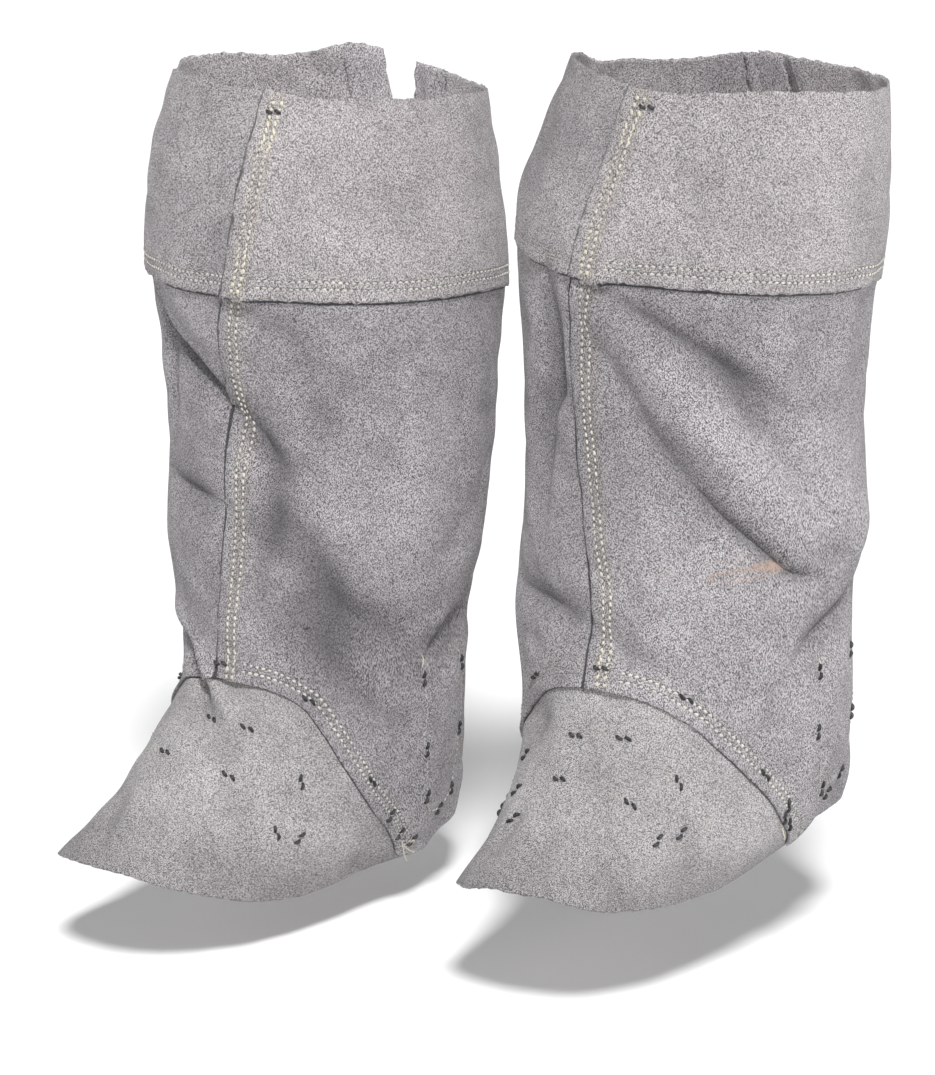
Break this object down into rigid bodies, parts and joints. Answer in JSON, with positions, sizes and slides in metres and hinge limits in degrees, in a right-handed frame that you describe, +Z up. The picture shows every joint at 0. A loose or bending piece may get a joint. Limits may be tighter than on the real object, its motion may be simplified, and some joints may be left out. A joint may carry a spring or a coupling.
{
  "type": "pair of welding leggings",
  "caption": "Knee-high leather leggings with lapped leg panels, a flared vamp over the boot and a broad knee cuff, standing open as worn.",
  "frame": {"origin": "middle of the wearer's right leg inside its legging, 200 mm above the floor the boots stand on", "axes": "+Z up along the wearer's legs, -Y the way the wearer faces, +X towards the wearer's left"},
  "size_m": [0.4593, 0.4087, 0.5111],
  "materials": {
    "leather": "matt grey split leather with a brushed nap"
  },
  "bodies": {
    "root": {"right_vamp": "leather", "right_leg_under": "leather", "right_leg_over": "leather", "right_cuff_under": "leather", "right_cuff_over": "leather", "right_facing_under": "leather", "right_facing_over": "leather", "left_vamp": "leather", "left_leg_under": "leather", "left_leg_over": "leather", "left_cuff_under": "leather", "left_cuff_over": "leather", "left_facing_under": "leather", "left_facing_over": "leather"}
  },
  "joints": []
}
